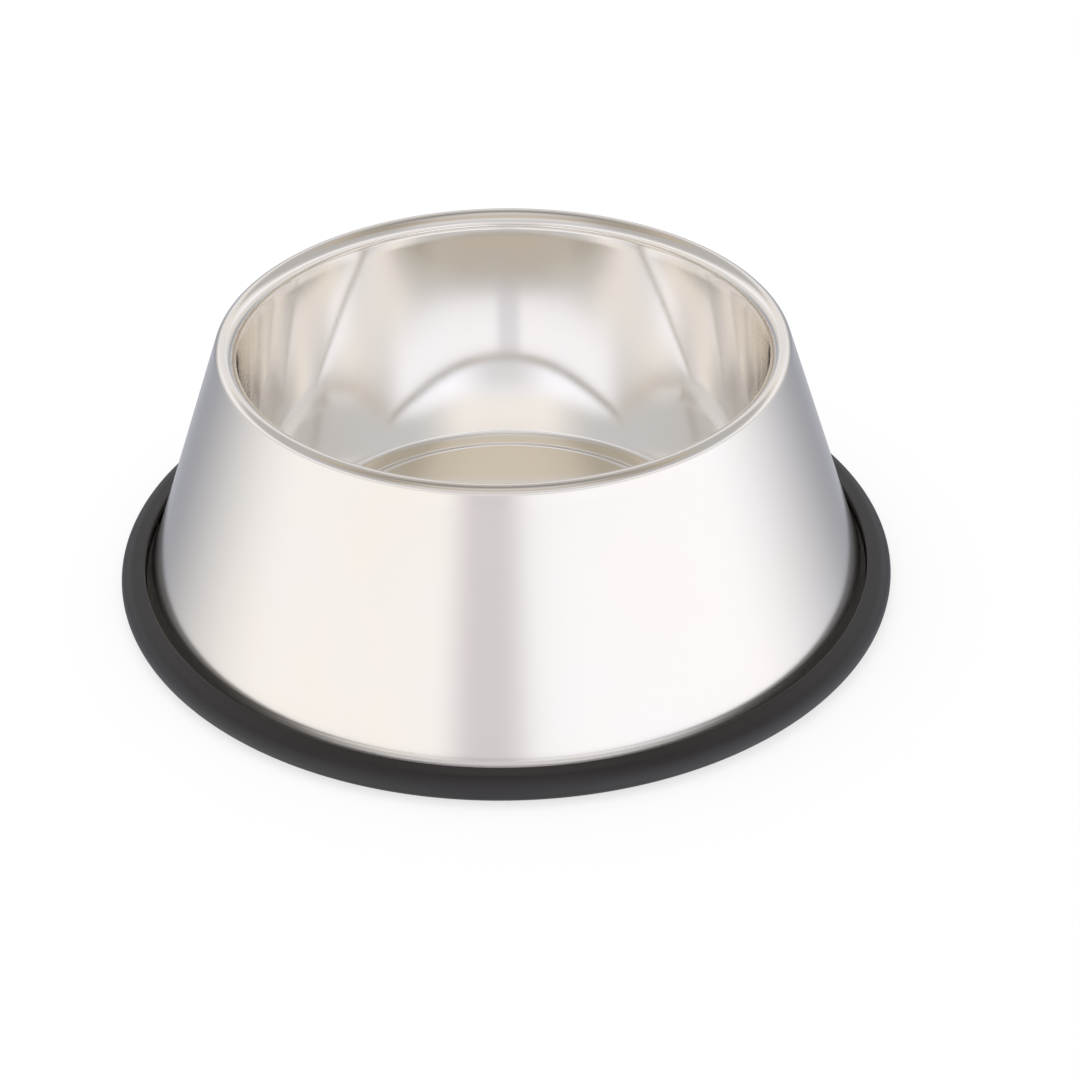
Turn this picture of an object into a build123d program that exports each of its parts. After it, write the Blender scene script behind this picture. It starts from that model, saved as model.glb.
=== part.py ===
from build123d import *
import os
from math import asin, atan2, cos, degrees, hypot, radians, sin, sqrt, tan

# Non-tip dog bowl in stainless sheet: a drawn feeding pan hangs inside a conical skirt,
# the skirt's top edge is folded over the pan's, and a rubber ring grips the skirt's foot.
# Millimetres, +Z up, origin on the floor at the centre of the base.
# Sections are drawn as (radius, height) and turned about Z. Angles are in degrees.

# Overall sizes
base_diameter = 280.0         # over the rubber ring
overall_height = 94.8         # floor to the crest of the rim
rim_crest_diameter = 194.0    # the circle where the rim is highest
sheet = 0.6                   # thickness of both pressings

# Rim fold, measured on the face that shows
rim_roll_radius = 3.3         # round outside and crest
rim_lip_radius = 7.0          # flatter run from the crest down into the bowl
roll_past_crest = 33.0        # how far the small radius runs past the crest
lip_turn = 37.0               # how far the flatter run turns before the edge of the fold
hem_clearance = 0.2           # between the fold and the pan's edge inside it
hook_past_crest = 40.0        # how far the pan's own edge hooks over inside the fold

# Feeding pan, measured on the inside
floor_height = 5.5            # lowest part of the inside, above the floor
wall_lean_bottom = 17.25      # outward lean of the bowed wall from upright, just above the corner
wall_lean_top = -0.5          # the same, just below the rim, where the wall closes in slightly
corner_radius = 2.0           # wall to floor
emboss_diameter = 136.0       # level middle of the raised centre
emboss_rise = 1.5             # raised centre above the lowest part
emboss_slope = 20.0           # slope of the step round the raised centre
emboss_bend_radius = 5.0      # rounding at the top and foot of that step

# Rubber ring and the foot that it grips
ring_height = 9.3
ring_width = 8.7              # lip to outside, the outside is a full round
ring_edge_radius = 0.6        # edges of the two lips
foot_gap = 1.4                # skirt to the ring's lips
foot_bend_radius = 6.8        # flare of the skirt into its foot flange, on the upper face
flange_grip = 5.0             # reach of the foot flange past the ring's lips
groove_clearance = 0.15       # above and below the flange, and on its flare
groove_end_clearance = 0.3    # beyond the flange's edge
groove_corner_radius = 0.3    # at the closed end of the groove and where the seat on the flare ends

# Sizes that follow from those above
ring_outer_radius = base_diameter / 2
ring_lip_radius = ring_outer_radius - ring_width
ring_middle_height = ring_height / 2
flange_edge_radius = ring_lip_radius + flange_grip
flange_top = ring_middle_height + sheet / 2
foot_radius = ring_lip_radius - foot_gap
roll_centre = Vector(rim_crest_diameter / 2, overall_height - rim_roll_radius)
lean_run = foot_radius - roll_centre.X
lean_rise = roll_centre.Y - flange_top
lean_reach = hypot(lean_run, lean_rise)
skirt_lean = degrees(atan2(lean_run, lean_rise) - asin(rim_roll_radius / lean_reach))
foot_turn = 90 - skirt_lean
foot_setback = foot_bend_radius * tan(radians(foot_turn / 2))


def direction(heading):
    """Unit vector of a heading, counted from outwards towards upwards."""
    return Vector(cos(radians(heading)), sin(radians(heading)))


def sheet_face(start, heading, steps, inset):
    """One face of a bent sheet, as a chain of edges, set in to the left of the face that shows."""
    point = start + direction(heading + 90) * inset
    edges = []
    for run, radius, turn in steps:
        if run > 0:
            edges.append(Line(point, point + direction(heading) * run))
            point = edges[-1] @ 1
        if turn != 0:
            bend_radius = radius - inset if turn > 0 else radius + inset
            edges.append(JernArc(point, direction(heading), bend_radius, turn))
            point = edges[-1] @ 1
            heading += turn
    return edges


def turned_sheet(start, heading, steps, inset):
    """A round pressing. Each step is a straight run, then a bend's radius and turn, left positive."""
    shown = sheet_face(start, heading, steps, 0)
    hidden = sheet_face(start, heading, steps, inset)
    first_edge = Line(shown[0] @ 0, hidden[0] @ 0)
    last_edge = Line(shown[-1] @ 1, hidden[-1] @ 1)
    section = make_face(shown + hidden + [first_edge, last_edge])
    return revolve(Plane.XZ * section, Axis.Z)


def feeding_pan():
    """Drawn pan: raised centre, rounded corner, bowed wall, edge hooked under the rim fold."""
    lip_radius = rim_lip_radius - sheet - hem_clearance
    hook_radius = rim_roll_radius - sheet - hem_clearance
    lip_centre = roll_centre - direction(90 + roll_past_crest) * (rim_lip_radius - rim_roll_radius)
    wall_top = lip_centre + direction(180 - wall_lean_top) * lip_radius
    lean_bottom = radians(wall_lean_bottom)
    lean_top = radians(wall_lean_top)
    wall_height = wall_top.Y - floor_height - corner_radius * (1 - sin(lean_bottom))
    bow_radius = wall_height / (sin(lean_bottom) - sin(lean_top))
    bow_width = bow_radius * (cos(lean_top) - cos(lean_bottom))
    floor_edge_radius = wall_top.X - bow_width - corner_radius * cos(lean_bottom)
    slope = radians(emboss_slope)
    slope_run = (emboss_rise - 2 * emboss_bend_radius * (1 - cos(slope))) / sin(slope)
    step_width = 2 * emboss_bend_radius * sin(slope) + slope_run * cos(slope)
    moat_run = floor_edge_radius - emboss_diameter / 2 - step_width
    start = Vector(0, floor_height + emboss_rise)
    steps = [
        (emboss_diameter / 2, emboss_bend_radius, -emboss_slope),
        (slope_run, emboss_bend_radius, emboss_slope),
        (moat_run, corner_radius, 90 - wall_lean_bottom),
        (0, bow_radius, wall_lean_bottom - wall_lean_top),
        (0, lip_radius, roll_past_crest - 90 + wall_lean_top),
        (0, hook_radius, -roll_past_crest - hook_past_crest),
    ]
    return turned_sheet(start, 0, steps, -sheet)


def outer_skirt():
    """Conical skirt: foot flange at the bottom, rim roll at the top folded down inside the pan."""
    tangent_run = sqrt(lean_reach**2 - rim_roll_radius**2)
    start = Vector(flange_edge_radius, flange_top)
    steps = [
        (flange_edge_radius - foot_radius - foot_setback, foot_bend_radius, -foot_turn),
        (tangent_run - foot_setback, rim_roll_radius, foot_turn + roll_past_crest),
        (0, rim_lip_radius, lip_turn),
    ]
    return turned_sheet(start, 180, steps, sheet)


def rubber_ring():
    """Ring with a full-round outside, a groove for the foot flange and a sloping seat on its flare."""
    nose_centre_radius = ring_outer_radius - ring_height / 2
    groove_end_radius = flange_edge_radius + groove_end_clearance
    groove_top = flange_top + groove_clearance
    groove_bottom = flange_top - sheet - groove_clearance
    flare_end_radius = foot_radius + foot_setback
    seat_radius = foot_bend_radius - groove_clearance
    seat_reach = flare_end_radius - ring_lip_radius
    seat_height = flange_top + foot_bend_radius - sqrt(seat_radius**2 - seat_reach**2)
    inside = FilletPolyline(
        (nose_centre_radius, ring_height),
        (ring_lip_radius, ring_height),
        (ring_lip_radius, seat_height),
        (flare_end_radius, groove_top),
        (groove_end_radius, groove_top),
        (groove_end_radius, groove_bottom),
        (ring_lip_radius, groove_bottom),
        (ring_lip_radius, 0),
        (nose_centre_radius, 0),
        radius=[
            ring_edge_radius,
            ring_edge_radius,
            groove_corner_radius,
            groove_corner_radius,
            groove_corner_radius,
            ring_edge_radius,
            ring_edge_radius,
        ],
    )
    nose = ThreePointArc(inside @ 1, (ring_outer_radius, ring_middle_height), inside @ 0)
    section = make_face(inside.edges() + nose.edges())
    return revolve(Plane.XZ * section, Axis.Z)


os.makedirs("parts", exist_ok=True)
export_step(feeding_pan(), "parts/feeding_pan.step")
export_step(outer_skirt(), "parts/outer_skirt.step")
export_step(rubber_ring(), "parts/rubber_ring.step")
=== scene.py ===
from math import asin, atan2, ceil, cos, hypot, pi, radians, sin, sqrt, tan

import bmesh
import bpy
from bpy.props import FloatProperty, FloatVectorProperty, IntProperty, PointerProperty
from mathutils import Matrix, Vector


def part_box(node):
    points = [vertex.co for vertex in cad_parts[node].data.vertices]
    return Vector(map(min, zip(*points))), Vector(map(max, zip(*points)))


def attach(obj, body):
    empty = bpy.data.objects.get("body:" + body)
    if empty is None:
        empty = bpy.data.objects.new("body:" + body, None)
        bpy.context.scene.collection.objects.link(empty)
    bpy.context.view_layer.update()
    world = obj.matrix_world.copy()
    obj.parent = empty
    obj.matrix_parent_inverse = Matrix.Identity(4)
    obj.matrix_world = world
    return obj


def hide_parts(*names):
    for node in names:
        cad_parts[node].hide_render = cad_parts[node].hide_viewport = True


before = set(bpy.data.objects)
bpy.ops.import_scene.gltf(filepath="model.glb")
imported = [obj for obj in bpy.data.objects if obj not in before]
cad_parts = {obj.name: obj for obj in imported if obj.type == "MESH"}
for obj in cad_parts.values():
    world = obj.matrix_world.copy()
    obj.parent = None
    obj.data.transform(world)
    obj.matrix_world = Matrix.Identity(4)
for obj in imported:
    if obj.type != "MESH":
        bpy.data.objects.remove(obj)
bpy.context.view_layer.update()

bl_info = {
    "name": "Stainless dog bowl",
    "version": (1, 0, 0),
    "blender": (4, 5, 0),
    "location": "3D View > Sidebar > Dog bowl",
    "description": "Non-tip steel bowl with a folded rim and a rubber ring, on a studio floor",
    "category": "Add Mesh",
}

MM = 0.001


def linear_colour(hex_colour):
    """Linear RGBA of an sRGB hex colour."""
    channels = [int(hex_colour[i:i + 2], 16) / 255 for i in (1, 3, 5)]
    linear = [c / 12.92 if c <= 0.04045 else ((c + 0.055) / 1.055) ** 2.4 for c in channels]
    return (*linear, 1.0)


def length(name, description, default):
    """A size in metres, shown in the scene's unit."""
    return FloatProperty(
        name=name, description=description, default=default, min=0.0, unit="LENGTH", precision=5
    )


def angle(name, description, default_degrees):
    """An angle, kept in radians and shown in degrees."""
    return FloatProperty(
        name=name, description=description, default=radians(default_degrees), unit="ROTATION"
    )


def colour(name, description, hex_colour):
    """A colour, written as sRGB hex and kept linear."""
    return FloatVectorProperty(
        name=name, description=description, default=linear_colour(hex_colour),
        size=4, min=0.0, max=1.0, subtype="COLOR",
    )


class BowlSizes(bpy.types.PropertyGroup):
    """Sizes of the bowl, the same as the solids have."""

    base_radius: length("Base radius", "Outside of the rubber ring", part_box("rubber_ring")[1][0])
    overall_height: length("Height", "Floor to the crest of the rim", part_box("outer_skirt")[1][2])
    crest_radius: length("Crest radius", "Circle where the rim is highest", 97.0 * MM)
    sheet: length("Sheet", "Thickness of both steel pressings", 0.6 * MM)

    rim_roll_radius: length("Rim roll", "Round outside and crest of the rim", 3.3 * MM)
    rim_lip_radius: length("Rim lip", "Flatter run from the crest down into the bowl", 7.0 * MM)
    roll_past_crest: angle("Roll past crest", "How far the small radius runs past the crest", 33.0)
    lip_turn: angle("Lip turn", "How far the flatter run turns before the edge of the fold", 37.0)
    hem_clearance: length("Hem clearance", "Between the fold and the pan's edge inside it", 0.2 * MM)
    hook_past_crest: angle("Hook past crest", "How far the pan's edge hooks over inside the fold", 40.0)

    floor_height: length("Floor height", "Lowest part of the inside, above the ground", 5.5 * MM)
    wall_lean_bottom: angle("Wall lean, bottom", "Outward lean of the bowed wall above the corner", 17.25)
    wall_lean_top: angle("Wall lean, top", "Outward lean of the bowed wall below the rim", -0.5)
    corner_radius: length("Corner radius", "Wall to floor", 2.0 * MM)
    emboss_radius: length("Raised centre", "Radius of its level middle", 68.0 * MM)
    emboss_rise: length("Centre rise", "Raised centre above the lowest part", 1.5 * MM)
    emboss_slope: angle("Step slope", "Slope of the step round the raised centre", 20.0)
    emboss_bend_radius: length("Step rounding", "At the top and foot of the step", 5.0 * MM)

    ring_height: length("Ring height", "Height of the rubber ring", 9.3 * MM)
    ring_width: length("Ring width", "Lips to outside", 8.7 * MM)
    ring_edge_radius: length("Ring edges", "Rounding of the two lips", 0.6 * MM)
    foot_gap: length("Foot gap", "Skirt to the ring's lips", 1.4 * MM)
    foot_bend_radius: length("Foot flare", "Skirt to foot flange, on the upper face", 6.8 * MM)
    flange_grip: length("Flange grip", "Reach of the foot flange past the ring's lips", 5.0 * MM)
    groove_clearance: length("Groove clearance", "Above and below the flange, and on its flare", 0.15 * MM)
    groove_end_clearance: length("Groove end", "Beyond the flange's edge", 0.3 * MM)
    groove_corner_radius: length("Groove corners", "At the closed end of the groove", 0.3 * MM)

    steps_round: IntProperty(
        name="Steps round", description="Divisions of each piece round the axis", default=288, min=24
    )


class BowlColours(bpy.types.PropertyGroup):
    """Colours of the bowl's materials."""

    pan_warm: colour("Pan, warm", "Warmer patches of the polished pan", "#F9F6F2")
    pan_cool: colour("Pan, cool", "Cooler patches of the polished pan", "#F8F7F5")
    skirt_warm: colour("Skirt, warm", "Warmer patches of the satin skirt", "#EDE5DB")
    skirt_cool: colour("Skirt, cool", "Cooler patches of the satin skirt", "#E9E7E3")
    rubber: colour("Rubber", "Body of the ring", "#1B1719")
    rubber_bloom: colour("Rubber bloom", "Paler bloom on the ring's skin", "#232023")


class StudioSettings(bpy.types.PropertyGroup):
    """Floor, lamp and camera."""

    floor_colour: colour("Floor", "Pale studio floor", "#F2F2F2")
    floor_size: length("Floor size", "Side of the floor", 12.0)
    floor_shadow: FloatProperty(
        name="Floor shadow", description="How much of the object's shadow the white floor shows",
        default=0.3, min=0.0, max=1.0, subtype="FACTOR",
    )
    lamp_power: FloatProperty(
        name="Lamp power", description="Power of the soft lamp overhead", default=6.0, unit="POWER"
    )
    lamp_size: length("Lamp size", "Side of the soft lamp", 1.2)
    lamp_height: length("Lamp height", "Height of the soft lamp above the floor", 1.5)
    lens: FloatProperty(
        name="Lens", description="Focal length on a 36 mm sensor", default=80.372, unit="CAMERA"
    )
    camera_roll: angle("Camera roll", "Turn of the camera about its view axis", -0.344)


CAMERA_PLACE = Vector((0.0, -0.73262, 0.50221))
CAMERA_AIM = Vector((0.01226, 0.0, 0.00845))
SENSOR_WIDTH = 36.0     # millimetres
LAMP_ASIDE = (-0.3, 0.2)    # the lamp's place over the floor, metres

# The bowl's inside mirrors itself many times over before it shows the studio
MIRROR_BOUNCES = 16

# Steel: size of the patches that hand polishing leaves, height over which the rim's burnish sets
# in, and the share of the roughness that it leaves
PATCH_SIZE = 45 * MM
BURNISH_RUN = 2 * MM
BURNISH_LEAVES = 0.85
# The tangent runs round the axis with the lines. A quarter turn blurs across the lines.
BLUR_TURN = 0.25

# Rubber: grain of the mould, which is finer in life and drawn coarse enough to show, patches of
# bloom, and the range of roughness
GRAIN_SIZE = 0.5 * MM
GRAIN_DEPTH = 0.02 * MM
BLOOM_SIZE = 18 * MM
RUBBER_SMOOTHEST = 0.36
RUBBER_ROUGHEST = 0.44

# The studio that the steel mirrors. Each panel is a soft-edged patch of the dome, laid over those
# above it: azimuth of its middle, half width and softness of its sides, elevation of its middle,
# half height and softness of its top and bottom, colour and strength. Angles are in degrees, and
# azimuth is counted from the camera's side towards its right.
ALL_ROUND = 400
DOME_COLOUR = "#BEBDBE"
STUDIO_PANELS = [
    ("beige ceiling", 0, ALL_ROUND, 1, 58, 9, 4, "#CBC1B3", 1.0),
    ("beige ceiling in front", 0, 35, 20, 58, 9, 4, "#D6CCBD", 1.0),
    ("dim ceiling on the left", -78, 24, 14, 60, 9, 4, "#B3AB9E", 1.0),
    ("dim ceiling on the right", 78, 24, 14, 60, 9, 4, "#B3AB9E", 1.0),
    ("dark strip behind", 180, 70, 25, 72, 10, 4, "#9A9A9C", 1.0),
    ("skylight in front", 0, 70, 25, 80, 11, 5, "#DDDBD9", 1.0),
    ("upper tent", 0, ALL_ROUND, 1, 43, 10, 3, "#C4C4C6", 1.0),
    ("upper tent in front", 0, 45, 15, 43, 10, 3, "#EAEBF0", 1.0),
    ("cream tent", 0, ALL_ROUND, 1, 8, 26, 3, "#F0EEEC", 1.0),
    ("cream tent behind", 180, 60, 30, 28, 6, 2.5, "#FFFBF8", 1.0),
    ("dim edge of the tent", 0, 115, 30, 32.5, 4, 1.5, "#CFCFD2", 1.0),
    ("white tent", 0, ALL_ROUND, 1, 25, 3.5, 1.8, "#F3F5FF", 1.27),
    ("seam of the tent", -7, 14, 8, 25, 3.5, 1.8, "#F0F0FB", 1.0),
    ("gap in the tent behind", 180, 28, 24, 26, 2.5, 2.2, "#E4E4EA", 1.0),
    ("low surround", 0, ALL_ROUND, 1, -24, 34, 4, "#A8ABB5", 1.0),
    ("white panel left", -50, 60, 36, -24, 34, 4, "#FFFEFF", 1.12),
    ("white panel right", 50, 60, 36, -24, 34, 4, "#F7F8FF", 1.28),
    ("gap between panels", -6, 10, 6, -24, 34, 4, "#E2DFE7", 1.0),
    ("panel behind", 180, 20, 14, -24, 34, 4, "#C4C7D0", 1.0),
]


def direction(heading):
    """Unit vector of a heading in the section's plane, counted from outwards towards upwards."""
    return Vector((cos(heading), 0.0, sin(heading)))


class Section:
    """A piece's section, drawn in a bmesh as one chain of runs and bends, then turned about Z."""

    run_spacing = 4.0 * MM
    run_end = 0.25 * MM
    bend_step = radians(5.0)
    edge_step = radians(30.0)
    longest_chord = 3.5 * MM
    drift = 0.01 * MM
    merge_distance = 0.001 * MM

    def __init__(self, start, heading):
        self.mesh = bmesh.new()
        place = Vector((start[0], 0.0, start[1]))
        self.start = bmesh.ops.create_vert(self.mesh, co=place)["vert"][0]
        self.tip = self.start
        self.heading = heading

    def run(self, distance):
        """A straight run. A short piece at each end keeps the shading of the run flat."""
        end = min(self.run_end, distance / 4)
        for part in (end, distance - 2 * end, end):
            pieces = ceil(part / self.run_spacing)
            for _ in range(pieces):
                self.tip = bmesh.ops.extrude_vert_indiv(self.mesh, verts=[self.tip])["verts"][0]
                step = direction(self.heading) * (part / pieces)
                bmesh.ops.translate(self.mesh, verts=[self.tip], vec=step)

    def bend(self, radius, turn):
        """A bend of a given radius, left turn positive."""
        side = direction(self.heading + pi / 2) * (1 if turn > 0 else -1)
        steps = max(ceil(abs(turn) / self.bend_step), ceil(radius * abs(turn) / self.longest_chord))
        if radius < self.run_end * 2:
            steps = ceil(abs(turn) / self.edge_step)
        turned = bmesh.ops.spin(
            self.mesh, geom=[self.tip], cent=self.tip.co + side * radius, axis=(0.0, -1.0, 0.0),
            angle=turn, steps=steps,
        )
        self.tip = next(g for g in turned["geom_last"] if isinstance(g, bmesh.types.BMVert))
        self.heading += turn

    def follow(self, steps):
        """Steps are (straight run, radius of the bend after it, its turn)."""
        for distance, radius, turn in steps:
            if distance > 0:
                self.run(distance)
            if turn:
                self.bend(radius, turn)

    def back_along(self, steps, inset):
        """The same steps walked back on the sheet's other face, inset to the left of the first."""
        for distance, radius, turn in reversed(steps):
            if turn:
                self.bend(radius - inset if turn > 0 else radius + inset, -turn)
            if distance > 0:
                self.run(distance)

    def turned(self, name, steps_round):
        """The section turned about Z into a closed piece, as a new object."""
        mesh = self.mesh
        bmesh.ops.remove_doubles(mesh, verts=[self.start, self.tip], dist=self.drift)
        for vert in mesh.verts:
            if vert.co.x < self.drift:
                vert.co.x = 0.0
        bmesh.ops.spin(
            mesh, geom=mesh.verts[:] + mesh.edges[:], cent=(0, 0, 0), axis=(0, 0, 1), angle=2 * pi,
            steps=steps_round, use_merge=True,
        )
        bmesh.ops.remove_doubles(mesh, verts=mesh.verts[:], dist=self.merge_distance)
        bmesh.ops.recalc_face_normals(mesh, faces=mesh.faces[:])
        for face in mesh.faces:
            face.smooth = True
        open_edges = [edge for edge in mesh.edges if not edge.is_manifold]
        if open_edges:
            ends = [vert for edge in open_edges[:4] for vert in edge.verts]
            places = [tuple(round(c / MM, 4) for c in vert.co) for vert in ends]
            raise RuntimeError(f"{name} has {len(open_edges)} open edges, at {places} mm")
        data = bpy.data.meshes.new(name)
        mesh.to_mesh(data)
        mesh.free()
        piece = bpy.data.objects.new(name, data)
        bpy.context.scene.collection.objects.link(piece)
        return piece


def rim_centres(sizes):
    """Centres of the rim's round outside and of the flatter run into the bowl."""
    roll_centre = Vector((sizes.crest_radius, 0.0, sizes.overall_height - sizes.rim_roll_radius))
    offset = sizes.rim_lip_radius - sizes.rim_roll_radius
    lip_centre = roll_centre - direction(pi / 2 + sizes.roll_past_crest) * offset
    return roll_centre, lip_centre


def foot_shape(sizes):
    """The skirt's foot: its radius without the flare, and the flare's turn and setback.

    The last value is the length of the tangent from that foot to the rim's roll.
    """
    roll_centre = rim_centres(sizes)[0]
    foot_radius = sizes.base_radius - sizes.ring_width - sizes.foot_gap
    lean_run = foot_radius - roll_centre.x
    lean_rise = roll_centre.z - (sizes.ring_height + sizes.sheet) / 2
    reach = hypot(lean_run, lean_rise)
    skirt_lean = atan2(lean_run, lean_rise) - asin(sizes.rim_roll_radius / reach)
    foot_turn = pi / 2 - skirt_lean
    foot_setback = sizes.foot_bend_radius * tan(foot_turn / 2)
    tangent_run = sqrt(reach**2 - sizes.rim_roll_radius**2)
    return foot_radius, foot_turn, foot_setback, tangent_run


def place_piece(piece, material, body, node):
    """Gives a piece its material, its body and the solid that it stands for."""
    piece.data.materials.append(material)
    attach(piece, body)
    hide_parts(node)


def add_node(tree, kind, links=(), **settings):
    """Adds a node, sets its properties and, by name or number, its sockets, and links its inputs."""
    node = tree.nodes.new(kind)
    inputs = settings.pop("inputs", {})
    for name, value in settings.items():
        setattr(node, name, value)
    for socket, value in inputs.items():
        node.inputs[socket].default_value = value
    for socket, source in dict(links).items():
        tree.links.new(source, node.inputs[socket])
    return node


def new_material(name):
    """An empty node material with its output."""
    material = bpy.data.materials.new(name)
    material.use_nodes = True
    material.node_tree.nodes.clear()
    output = add_node(material.node_tree, "ShaderNodeOutputMaterial")
    return material, material.node_tree, output


def brushed_steel(
    name, warm, cool, roughness, spread, anisotropy, line_spacing, line_length, line_height,
    burnished_above=None,
):
    """Stainless sheet with a finish of fine lines round the axis.

    The lines blur what the steel mirrors along the wall more than round it, so lamps show as
    soft upright bands. Slow patches of roughness and tint are left by polishing by hand. Above
    a given height the tool that folds the rim has burnished the lines a little, so the rim
    mirrors slightly more sharply. Real lines are some 0.1 mm apart, too fine to show, so the
    spacings are drawn about five times as coarse.
    """
    material, tree, output = new_material(name)
    place = add_node(tree, "ShaderNodeTexCoord").outputs["Object"]
    axes = add_node(tree, "ShaderNodeSeparateXYZ", {0: place})
    level = add_node(
        tree, "ShaderNodeVectorMath", {0: place}, operation="MULTIPLY", inputs={1: (1, 1, 0)}
    )
    radius = add_node(tree, "ShaderNodeVectorMath", {0: level.outputs[0]}, operation="LENGTH")
    along = add_node(
        tree, "ShaderNodeMath", {0: radius.outputs["Value"], 1: axes.outputs["Z"]}, operation="ADD"
    )
    wound = add_node(
        tree, "ShaderNodeCombineXYZ",
        {"X": axes.outputs["X"], "Y": axes.outputs["Y"], "Z": along.outputs[0]},
    )
    lines_scale = (1 / line_length, 1 / line_length, 1 / line_spacing)
    stretched = add_node(
        tree, "ShaderNodeMapping", {"Vector": wound.outputs[0]}, inputs={"Scale": lines_scale}
    )
    lines = add_node(
        tree, "ShaderNodeTexNoise", {"Vector": stretched.outputs[0]},
        inputs={"Scale": 1.0, "Detail": 3.0, "Roughness": 0.6},
    )
    patches = add_node(
        tree, "ShaderNodeTexNoise", {"Vector": place}, inputs={"Scale": 1 / PATCH_SIZE, "Detail": 2.0}
    )
    mixed = add_node(
        tree, "ShaderNodeMath", {0: lines.outputs["Fac"], 1: patches.outputs["Fac"]}, operation="ADD"
    )
    rough = add_node(
        tree, "ShaderNodeMapRange", {"Value": mixed.outputs[0]},
        inputs={
            "From Min": 0.6, "From Max": 1.4, "To Min": roughness - spread, "To Max": roughness + spread,
        },
    )
    finish = rough.outputs["Result"]
    if burnished_above is not None:
        burnish = add_node(
            tree, "ShaderNodeMapRange", {"Value": axes.outputs["Z"]},
            inputs={
                "From Min": burnished_above, "From Max": burnished_above + BURNISH_RUN,
                "To Min": 1.0, "To Max": BURNISH_LEAVES,
            },
        )
        finish = add_node(
            tree, "ShaderNodeMath", {0: finish, 1: burnish.outputs["Result"]}, operation="MULTIPLY"
        ).outputs[0]
    tint = add_node(
        tree, "ShaderNodeMix", {"Factor": patches.outputs["Fac"]}, data_type="RGBA",
        inputs={"A": warm, "B": cool},
    )
    bump = add_node(
        tree, "ShaderNodeBump", {"Height": lines.outputs["Fac"]},
        inputs={"Strength": 1.0, "Distance": line_height},
    )
    round_axis = add_node(
        tree, "ShaderNodeVectorMath", {1: place}, operation="CROSS_PRODUCT", inputs={0: (0, 0, 1)}
    )
    shader = add_node(
        tree, "ShaderNodeBsdfPrincipled",
        {
            "Base Color": tint.outputs["Result"],
            "Roughness": finish,
            "Normal": bump.outputs["Normal"],
            "Tangent": round_axis.outputs[0],
        },
        inputs={"Metallic": 1.0, "Anisotropic": anisotropy, "Anisotropic Rotation": BLUR_TURN},
    )
    tree.links.new(shader.outputs[0], output.inputs["Surface"])
    return material


def moulded_rubber(name, colours):
    """Moulded synthetic rubber: near black, satin, with the fine grain of the mould.

    The grain spreads the highlight on the rounded edge into a soft grey band, and a thin
    bloom makes the skin slightly paler in patches.
    """
    material, tree, output = new_material(name)
    place = add_node(tree, "ShaderNodeTexCoord").outputs["Object"]
    grain = add_node(
        tree, "ShaderNodeTexNoise", {"Vector": place}, inputs={"Scale": 1 / GRAIN_SIZE, "Detail": 3.0}
    )
    bloom = add_node(
        tree, "ShaderNodeTexNoise", {"Vector": place}, inputs={"Scale": 1 / BLOOM_SIZE, "Detail": 4.0}
    )
    skin = add_node(
        tree, "ShaderNodeMix", {"Factor": bloom.outputs["Fac"]}, data_type="RGBA",
        inputs={"A": colours.rubber, "B": colours.rubber_bloom},
    )
    rough = add_node(
        tree, "ShaderNodeMapRange", {"Value": bloom.outputs["Fac"]},
        inputs={"From Min": 0.3, "From Max": 0.7, "To Min": RUBBER_SMOOTHEST, "To Max": RUBBER_ROUGHEST},
    )
    bump = add_node(
        tree, "ShaderNodeBump", {"Height": grain.outputs["Fac"]},
        inputs={"Strength": 1.0, "Distance": GRAIN_DEPTH},
    )
    shader = add_node(
        tree, "ShaderNodeBsdfPrincipled",
        {
            "Base Color": skin.outputs["Result"],
            "Roughness": rough.outputs["Result"],
            "Normal": bump.outputs["Normal"],
        },
        inputs={"IOR": 1.5},
    )
    tree.links.new(shader.outputs[0], output.inputs["Surface"])
    return material


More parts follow.
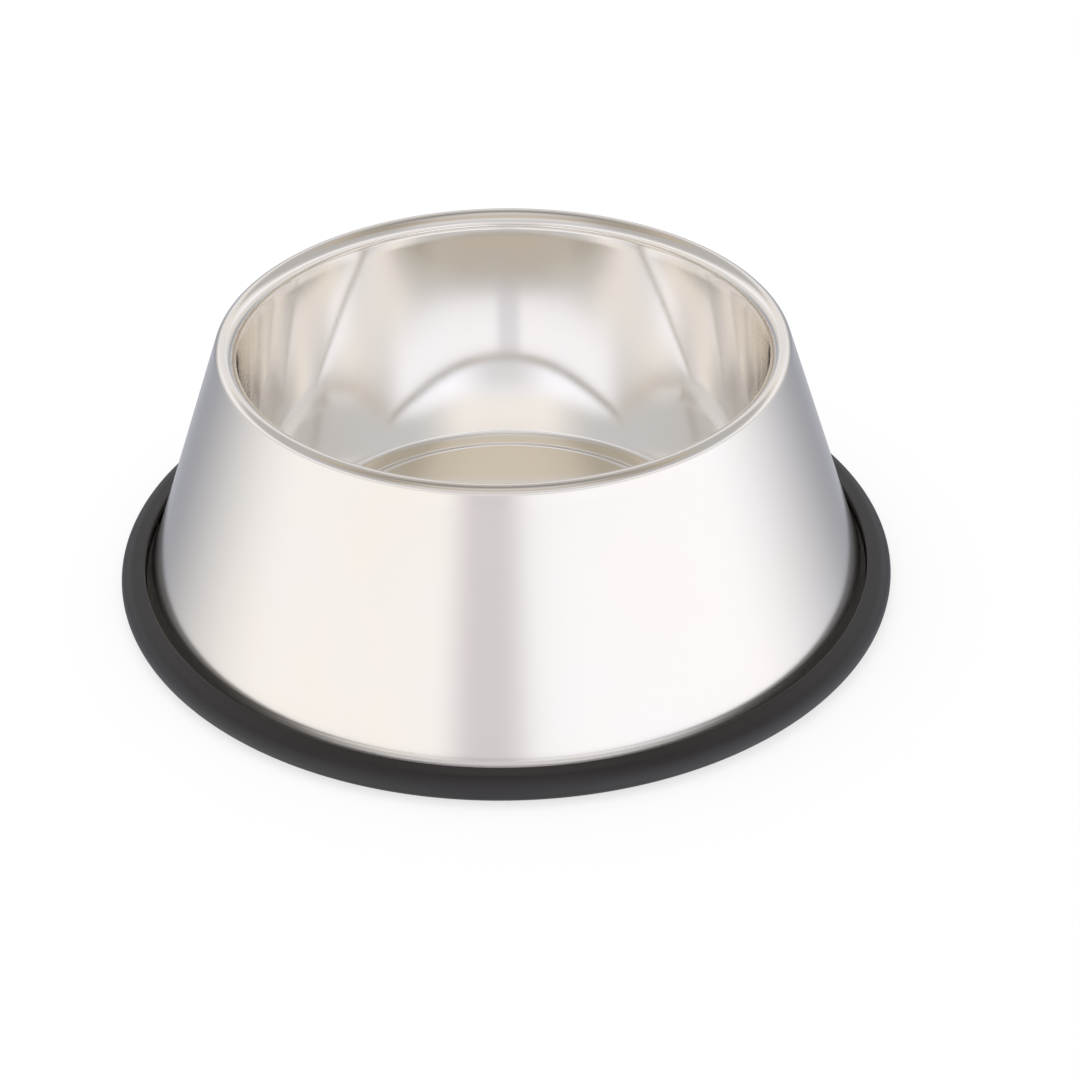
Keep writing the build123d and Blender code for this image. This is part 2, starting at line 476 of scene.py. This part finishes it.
class MESH_OT_bowl_pan(bpy.types.Operator):
    """Feeding pan: raised centre, rounded corner, bowed wall and an edge hooked under the rim fold"""

    bl_idname = "mesh.bowl_pan"
    bl_label = "Feeding pan"

    def execute(self, context):
        sizes = context.scene.bowl_sizes
        lip_radius = sizes.rim_lip_radius - sizes.sheet - sizes.hem_clearance
        hook_radius = sizes.rim_roll_radius - sizes.sheet - sizes.hem_clearance
        lean_bottom = sizes.wall_lean_bottom
        lean_top = sizes.wall_lean_top
        lip_centre = rim_centres(sizes)[1]
        wall_top = lip_centre + direction(pi - lean_top) * lip_radius
        wall_height = wall_top.z - sizes.floor_height - sizes.corner_radius * (1 - sin(lean_bottom))
        bow_radius = wall_height / (sin(lean_bottom) - sin(lean_top))
        bow_width = bow_radius * (cos(lean_top) - cos(lean_bottom))
        floor_edge_radius = wall_top.x - bow_width - sizes.corner_radius * cos(lean_bottom)
        slope = sizes.emboss_slope
        slope_run = (sizes.emboss_rise - 2 * sizes.emboss_bend_radius * (1 - cos(slope))) / sin(slope)
        step_width = 2 * sizes.emboss_bend_radius * sin(slope) + slope_run * cos(slope)
        moat_run = floor_edge_radius - sizes.emboss_radius - step_width
        steps = [
            (sizes.emboss_radius, sizes.emboss_bend_radius, -slope),
            (slope_run, sizes.emboss_bend_radius, slope),
            (moat_run, sizes.corner_radius, pi / 2 - lean_bottom),
            (0, bow_radius, lean_bottom - lean_top),
            (0, lip_radius, sizes.roll_past_crest - pi / 2 + lean_top),
            (0, hook_radius, -sizes.roll_past_crest - sizes.hook_past_crest),
        ]
        section = Section((0.0, sizes.floor_height + sizes.emboss_rise), 0.0)
        section.follow(steps)
        section.bend(sizes.sheet / 2, -pi)
        section.back_along(steps, -sizes.sheet)
        piece = section.turned("pan_sheet", sizes.steps_round)
        colours = context.scene.bowl_colours
        steel = brushed_steel(
            "Polished stainless sheet", colours.pan_warm, colours.pan_cool,
            roughness=0.065, spread=0.01, anisotropy=0.3,
            line_spacing=0.5 * MM, line_length=60 * MM, line_height=0.0002 * MM,
        )
        place_piece(piece, steel, "bowl", "feeding_pan")
        return {"FINISHED"}


class MESH_OT_bowl_skirt(bpy.types.Operator):
    """Conical skirt: foot flange at the bottom, rim rolled over the pan's edge at the top"""

    bl_idname = "mesh.bowl_skirt"
    bl_label = "Outer skirt"

    def execute(self, context):
        sizes = context.scene.bowl_sizes
        foot_radius, foot_turn, foot_setback, tangent_run = foot_shape(sizes)
        flange_edge_radius = sizes.base_radius - sizes.ring_width + sizes.flange_grip
        flange_top = (sizes.ring_height + sizes.sheet) / 2
        steps = [
            (flange_edge_radius - foot_radius - foot_setback, sizes.foot_bend_radius, -foot_turn),
            (tangent_run - foot_setback, sizes.rim_roll_radius, foot_turn + sizes.roll_past_crest),
            (0, sizes.rim_lip_radius, sizes.lip_turn),
        ]
        section = Section((flange_edge_radius, flange_top), pi)
        section.follow(steps)
        section.bend(sizes.sheet / 2, pi)
        section.back_along(steps, sizes.sheet)
        section.bend(sizes.sheet / 2, pi)
        piece = section.turned("skirt_sheet", sizes.steps_round)
        colours = context.scene.bowl_colours
        steel = brushed_steel(
            "Satin brushed stainless sheet", colours.skirt_warm, colours.skirt_cool,
            roughness=0.17, spread=0.02, anisotropy=0.3,
            line_spacing=0.6 * MM, line_length=80 * MM, line_height=0.0006 * MM,
            burnished_above=sizes.overall_height - 2 * sizes.rim_roll_radius,
        )
        place_piece(piece, steel, "bowl", "outer_skirt")
        return {"FINISHED"}


class MESH_OT_bowl_ring(bpy.types.Operator):
    """Rubber ring: full-round outside, a groove for the foot flange and a sloping seat on its flare"""

    bl_idname = "mesh.bowl_ring"
    bl_label = "Rubber ring"

    def execute(self, context):
        sizes = context.scene.bowl_sizes
        edge = sizes.ring_edge_radius
        corner = sizes.groove_corner_radius
        lip_radius = sizes.base_radius - sizes.ring_width
        nose_radius = sizes.ring_height / 2
        level_run = sizes.ring_width - nose_radius - edge
        groove_depth = sizes.flange_grip + sizes.groove_end_clearance
        groove_height = sizes.sheet + 2 * sizes.groove_clearance
        lip_height = (sizes.ring_height - groove_height) / 2
        quarter = pi / 2
        foot_radius, _, foot_setback, _ = foot_shape(sizes)
        seat_radius = sizes.foot_bend_radius - sizes.groove_clearance
        seat_reach = foot_radius + foot_setback - lip_radius
        seat_rise = seat_radius - sqrt(seat_radius**2 - seat_reach**2)
        seat_slope = atan2(seat_rise, seat_reach)
        seat_end = corner * tan(seat_slope / 2)
        seat_edge = edge * tan((quarter - seat_slope) / 2)
        steps = [
            (level_run, edge, -quarter),
            (lip_height - 2 * edge, edge, -quarter),
            (groove_depth - edge - corner, corner, quarter),
            (groove_height - 2 * corner, corner, quarter),
            (groove_depth - seat_reach - corner - seat_end, corner, -seat_slope),
            (hypot(seat_rise, seat_reach) - seat_end - seat_edge, edge, seat_slope - quarter),
            (lip_height - seat_rise - seat_edge - edge, edge, -quarter),
            (level_run, nose_radius, -2 * quarter),
        ]
        section = Section((lip_radius + edge + level_run, 0.0), pi)
        section.follow(steps)
        piece = section.turned("ring_moulding", sizes.steps_round)
        rubber = moulded_rubber("Moulded black rubber", context.scene.bowl_colours)
        place_piece(piece, rubber, "ring", "rubber_ring")
        return {"FINISHED"}


class SCENE_OT_bowl_studio(bpy.types.Operator):
    """White studio: pale floor, soft lamp, the panels that the steel mirrors, and the camera"""

    bl_idname = "scene.bowl_studio"
    bl_label = "Studio"

    def execute(self, context):
        settings = context.scene.bowl_studio
        self.make_floor(context, settings)
        self.make_lamp(context, settings)
        self.make_world(context)
        self.make_camera(context, settings)
        context.scene.view_settings.view_transform = "Standard"
        context.scene.cycles.max_bounces = MIRROR_BOUNCES
        context.scene.cycles.glossy_bounces = MIRROR_BOUNCES
        return {"FINISHED"}

    def make_floor(self, context, settings):
        """A pale floor that shows white with the object's shadow, and is open from below."""
        mesh = bmesh.new()
        bmesh.ops.create_grid(mesh, x_segments=1, y_segments=1, size=settings.floor_size / 2)
        data = bpy.data.meshes.new("studio_floor")
        mesh.to_mesh(data)
        mesh.free()
        floor = bpy.data.objects.new("studio_floor", data)
        context.scene.collection.objects.link(floor)
        material, tree, output = new_material("Matt white paper")
        rays = add_node(tree, "ShaderNodeLightPath").outputs
        seen = add_node(
            tree, "ShaderNodeMath", {0: rays["Is Camera Ray"], 1: rays["Is Transmission Ray"]},
            operation="MAXIMUM",
        )
        paper = add_node(tree, "ShaderNodeBsdfDiffuse", inputs={"Color": settings.floor_colour})
        white = add_node(tree, "ShaderNodeEmission", inputs={"Color": (1, 1, 1, 1), "Strength": 1.0})
        lit = add_node(
            tree, "ShaderNodeMixShader", {1: white.outputs[0], 2: paper.outputs[0]},
            inputs={0: settings.floor_shadow},
        )
        shown = add_node(
            tree, "ShaderNodeMixShader", {0: seen.outputs[0], 1: paper.outputs[0], 2: lit.outputs[0]}
        )
        clear = add_node(tree, "ShaderNodeBsdfTransparent")
        under = add_node(tree, "ShaderNodeNewGeometry").outputs["Backfacing"]
        both = add_node(tree, "ShaderNodeMixShader", {0: under, 1: shown.outputs[0], 2: clear.outputs[0]})
        tree.links.new(both.outputs[0], output.inputs["Surface"])
        data.materials.append(material)
        floor.visible_glossy = False

    def make_lamp(self, context, settings):
        """One large soft lamp overhead. The steel mirrors the dome's panels in its place."""
        lamp_data = bpy.data.lights.new("soft_lamp", "AREA")
        lamp_data.shape = "SQUARE"
        lamp_data.size = settings.lamp_size
        lamp_data.energy = settings.lamp_power
        lamp = bpy.data.objects.new("soft_lamp", lamp_data)
        lamp.location = (*LAMP_ASIDE, settings.lamp_height)
        lamp.rotation_euler = (-lamp.location).to_track_quat("-Z", "Y").to_euler()
        lamp.visible_glossy = False
        context.scene.collection.objects.link(lamp)

    def make_world(self, context):
        """White all round, with the studio's panels for what the steel mirrors."""
        world = bpy.data.worlds.new("studio_dome")
        world.use_nodes = True
        tree = world.node_tree
        tree.nodes.clear()
        towards = add_node(tree, "ShaderNodeTexCoord").outputs["Generated"]
        axes = add_node(tree, "ShaderNodeSeparateXYZ", {0: towards}).outputs
        front = add_node(tree, "ShaderNodeMath", {0: axes["Y"]}, operation="MULTIPLY", inputs={1: -1.0})
        turn = add_node(tree, "ShaderNodeMath", {0: axes["X"], 1: front.outputs[0]}, operation="ARCTAN2")
        azimuth = add_node(tree, "ShaderNodeMath", {0: turn.outputs[0]}, operation="DEGREES").outputs[0]
        rise = add_node(tree, "ShaderNodeMath", {0: axes["Z"]}, operation="ARCSINE")
        elevation = add_node(tree, "ShaderNodeMath", {0: rise.outputs[0]}, operation="DEGREES").outputs[0]
        dome = add_node(tree, "ShaderNodeRGB").outputs[0]
        dome.default_value = linear_colour(DOME_COLOUR)
        for panel in STUDIO_PANELS:
            name, middle, half_width, side_soft, level, half_height, edge_soft, hex_colour, strength = panel
            aside = add_node(tree, "ShaderNodeMath", {0: azimuth}, operation="SUBTRACT", inputs={1: middle})
            wrapped = add_node(
                tree, "ShaderNodeMath", {0: aside.outputs[0]}, operation="WRAP", inputs={1: 180, 2: -180}
            )
            above = add_node(tree, "ShaderNodeMath", {0: elevation}, operation="SUBTRACT", inputs={1: level})
            masks = []
            for offset, half, soft in ((wrapped, half_width, side_soft), (above, half_height, edge_soft)):
                away = add_node(tree, "ShaderNodeMath", {0: offset.outputs[0]}, operation="ABSOLUTE")
                mask = add_node(
                    tree, "ShaderNodeMapRange", {"Value": away.outputs[0]}, interpolation_type="SMOOTHSTEP",
                    inputs={"From Min": half - soft, "From Max": half + soft, "To Min": 1.0, "To Max": 0.0},
                )
                masks.append(mask.outputs["Result"])
            patch = add_node(tree, "ShaderNodeMath", dict(enumerate(masks)), operation="MULTIPLY")
            shine = [channel * strength for channel in linear_colour(hex_colour)[:3]] + [1.0]
            dome = add_node(
                tree, "ShaderNodeMix", {"Factor": patch.outputs[0], "A": dome}, data_type="RGBA", label=name,
                inputs={"B": shine},
            ).outputs["Result"]
        mirrored = add_node(tree, "ShaderNodeLightPath").outputs["Is Glossy Ray"]
        seen = add_node(
            tree, "ShaderNodeMix", {"Factor": mirrored, "B": dome}, data_type="RGBA",
            inputs={"A": (1, 1, 1, 1)},
        )
        background = add_node(tree, "ShaderNodeBackground", {"Color": seen.outputs["Result"]})
        output = add_node(tree, "ShaderNodeOutputWorld", {"Surface": background.outputs[0]})
        output.is_active_output = True
        world.cycles.sampling_method = "NONE"
        context.scene.world = world

    def make_camera(self, context, settings):
        """The photograph's place, lens and tilt."""
        camera_data = bpy.data.cameras.new("camera")
        camera_data.lens = settings.lens
        camera_data.sensor_width = SENSOR_WIDTH
        camera = bpy.data.objects.new("camera", camera_data)
        facing = (CAMERA_AIM - CAMERA_PLACE).to_track_quat("-Z", "Y").to_matrix().to_4x4()
        roll = Matrix.Rotation(settings.camera_roll, 4, "Z")
        camera.matrix_world = Matrix.Translation(CAMERA_PLACE) @ facing @ roll
        context.scene.collection.objects.link(camera)
        context.scene.camera = camera


class VIEW3D_PT_dog_bowl(bpy.types.Panel):
    """Lists the bowl's pieces, sizes and colours"""

    bl_idname = "VIEW3D_PT_dog_bowl"
    bl_label = "Dog bowl"
    bl_space_type = "VIEW_3D"
    bl_region_type = "UI"
    bl_category = "Dog bowl"

    def draw(self, context):
        layout = self.layout
        for operator in OPERATORS:
            layout.operator(operator.bl_idname)
        for group in (context.scene.bowl_sizes, context.scene.bowl_colours, context.scene.bowl_studio):
            box = layout.box()
            for name in group.__annotations__:
                box.prop(group, name)


OPERATORS = (MESH_OT_bowl_pan, MESH_OT_bowl_skirt, MESH_OT_bowl_ring, SCENE_OT_bowl_studio)
CLASSES = (BowlSizes, BowlColours, StudioSettings, *OPERATORS, VIEW3D_PT_dog_bowl)


def register():
    for cls in CLASSES:
        bpy.utils.register_class(cls)
    bpy.types.Scene.bowl_sizes = PointerProperty(type=BowlSizes)
    bpy.types.Scene.bowl_colours = PointerProperty(type=BowlColours)
    bpy.types.Scene.bowl_studio = PointerProperty(type=StudioSettings)


def unregister():
    del bpy.types.Scene.bowl_studio
    del bpy.types.Scene.bowl_colours
    del bpy.types.Scene.bowl_sizes
    for cls in reversed(CLASSES):
        bpy.utils.unregister_class(cls)


def main():
    register()
    bpy.ops.scene.bowl_studio()
    bpy.ops.mesh.bowl_pan()
    bpy.ops.mesh.bowl_skirt()
    bpy.ops.mesh.bowl_ring()


if __name__ == "__main__":
    main()
